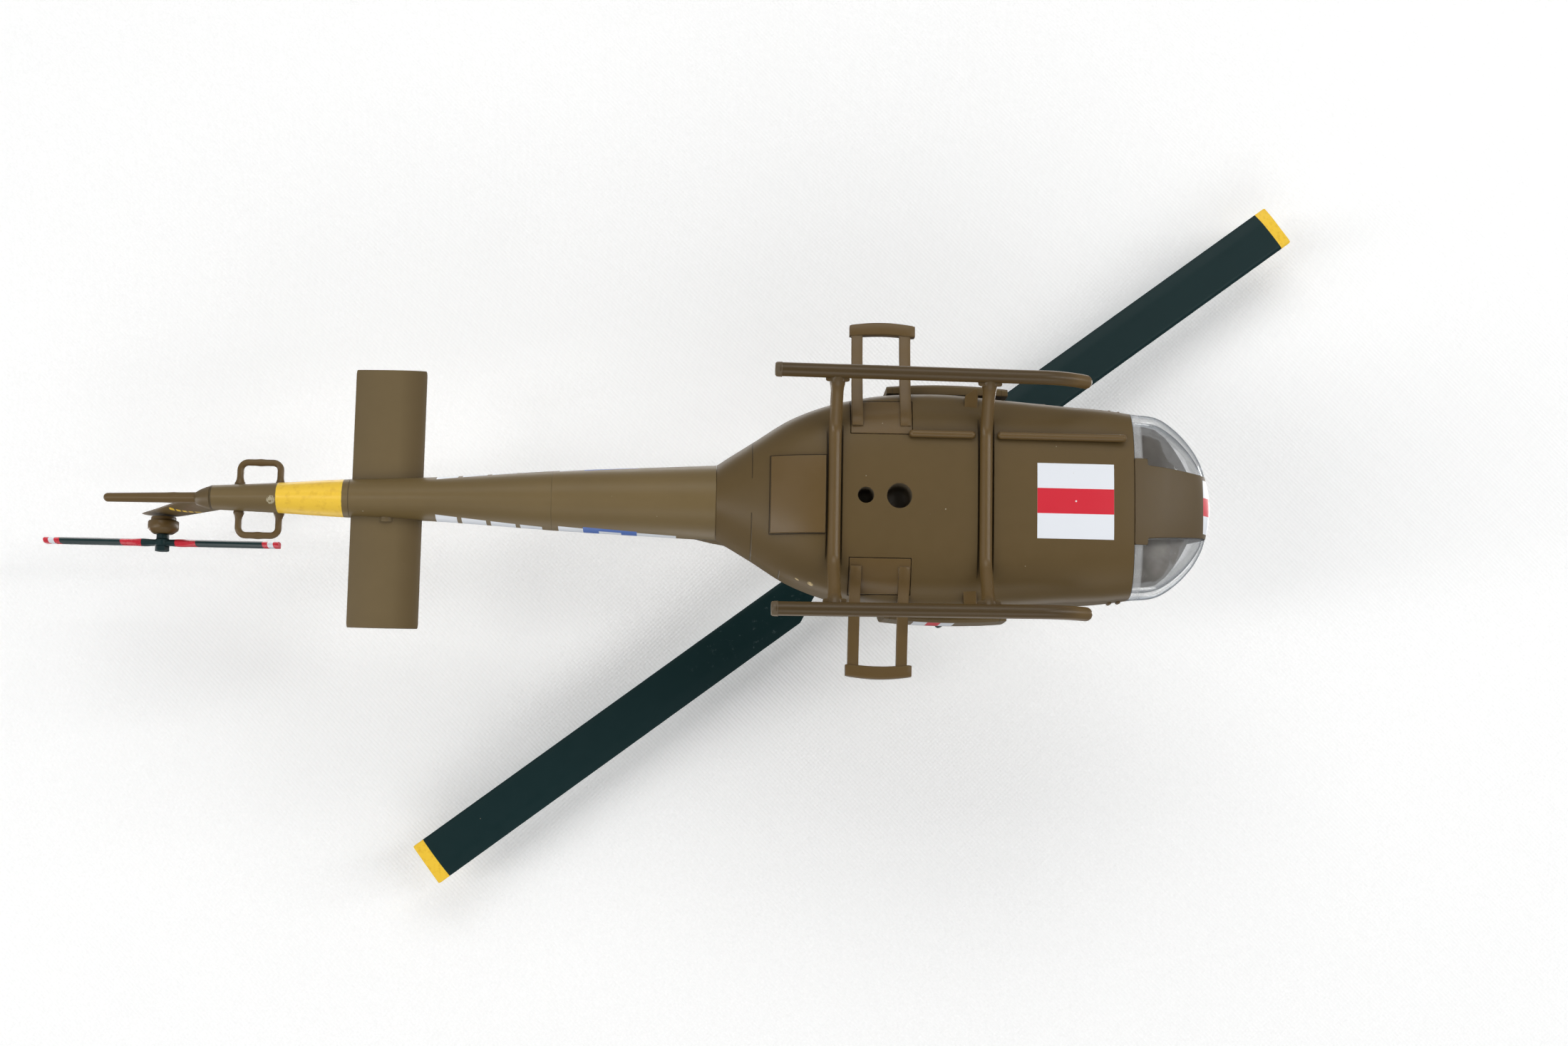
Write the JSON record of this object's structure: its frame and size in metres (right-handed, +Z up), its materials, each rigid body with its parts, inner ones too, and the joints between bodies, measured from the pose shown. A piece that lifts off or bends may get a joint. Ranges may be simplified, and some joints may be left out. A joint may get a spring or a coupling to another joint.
{
  "type": "toy helicopter",
  "caption": "Display-scale toy utility helicopter with a spinning two-blade main rotor and tail rotor, sliding cargo doors, tube skids, side carriers and stand sockets in the belly.",
  "frame": {"origin": "centre of the mouth of the large display-stand socket, in the plane of the flat belly", "axes": "+X towards the nose, +Y towards the helicopter's left side, +Z up; the skids stand on z = -5.8 mm"},
  "size_m": [0.2062, 0.1178, 0.0585],
  "materials": {
    "olive_paint": "semi-matt olive-brown paint over moulded plastic, lightly chipped",
    "rotor_teal": "semi-matt blue-black plastic",
    "clear_plastic": "thick clear moulded plastic",
    "green_tint": "green-tinted clear plastic",
    "cabin_grey": "matt grey-brown plastic",
    "panel_black": "matt black plastic",
    "seat_plastic": "matt plastic",
    "exhaust_grey": "burnt-metal grey paint"
  },
  "bodies": {
    "airframe": {"hull_shell": "olive_paint", "tail_boom": "olive_paint", "tail_fin": "olive_paint", "tail_skid": "olive_paint", "elevator_left": "olive_paint", "elevator_right": "olive_paint", "antenna_loop_left": "olive_paint", "antenna_loop_right": "olive_paint", "belly_hatch": "olive_paint", "belly_antenna_tube": "olive_paint", "stand_socket_block": "olive_paint", "skid_left": "olive_paint", "skid_right": "olive_paint", "skid_heel_caps": "olive_paint", "cross_tube_front": "olive_paint", "cross_tube_rear": "olive_paint", "step_tabs": "olive_paint", "side_carrier_left": "olive_paint", "side_carrier_right": "olive_paint", "nose_glazing": "clear_plastic", "nose_keel_panel": "olive_paint", "cockpit_window_left": "clear_plastic", "cockpit_window_right": "clear_plastic", "roof_windows": "green_tint", "cabin_floor": "cabin_grey", "instrument_panel": "panel_black", "pilot_seat_left": "seat_plastic", "pilot_seat_right": "seat_plastic", "bench_seat": "seat_plastic", "rear_bulkhead": "cabin_grey", "mast_fairing": "olive_paint", "engine_cowling": "olive_paint", "exhaust_pipe": "exhaust_grey", "mast_bush": "olive_paint", "tail_gearbox": "olive_paint", "door_rails_left": "olive_paint", "door_rails_right": "olive_paint", "cockpit_door_handles": "olive_paint"},
    "main_rotor": {"rotor_mast": "rotor_teal", "mast_retainer": "rotor_teal", "rotor_yoke": "rotor_teal", "main_blade_forward": "rotor_teal", "main_blade_aft": "rotor_teal", "blade_bolts": "rotor_teal", "stabilizer_bar": "rotor_teal", "mast_nut": "rotor_teal"},
    "tail_rotor": {"tail_rotor_shaft": "rotor_teal", "tail_rotor_blades": "rotor_teal", "tail_rotor_nut": "rotor_teal"},
    "left_cargo_door": {"cargo_door_left": "olive_paint", "cargo_door_window_left": "clear_plastic"},
    "right_cargo_door": {"cargo_door_right": "olive_paint", "cargo_door_window_right": "clear_plastic"}
  },
  "joints": [
    {"name": "main_rotor_spin", "type": "hinge", "parent": "airframe", "child": "main_rotor", "pos_m": [-0.0022, 0, 0.035], "axis": [0, 0, 1], "continuous": true},
    {"name": "tail_rotor_spin", "type": "hinge", "parent": "airframe", "child": "tail_rotor", "pos_m": [-0.1163, 0.003, 0.0359], "axis": [0, 1, 0], "continuous": true},
    {"name": "left_cargo_door_slide", "type": "slide", "parent": "airframe", "child": "left_cargo_door", "axis": [-1, 0, 0], "range_m": [0, 0.014]},
    {"name": "right_cargo_door_slide", "type": "slide", "parent": "airframe", "child": "right_cargo_door", "axis": [-1, 0, 0], "range_m": [0, 0.014]}
  ]
}
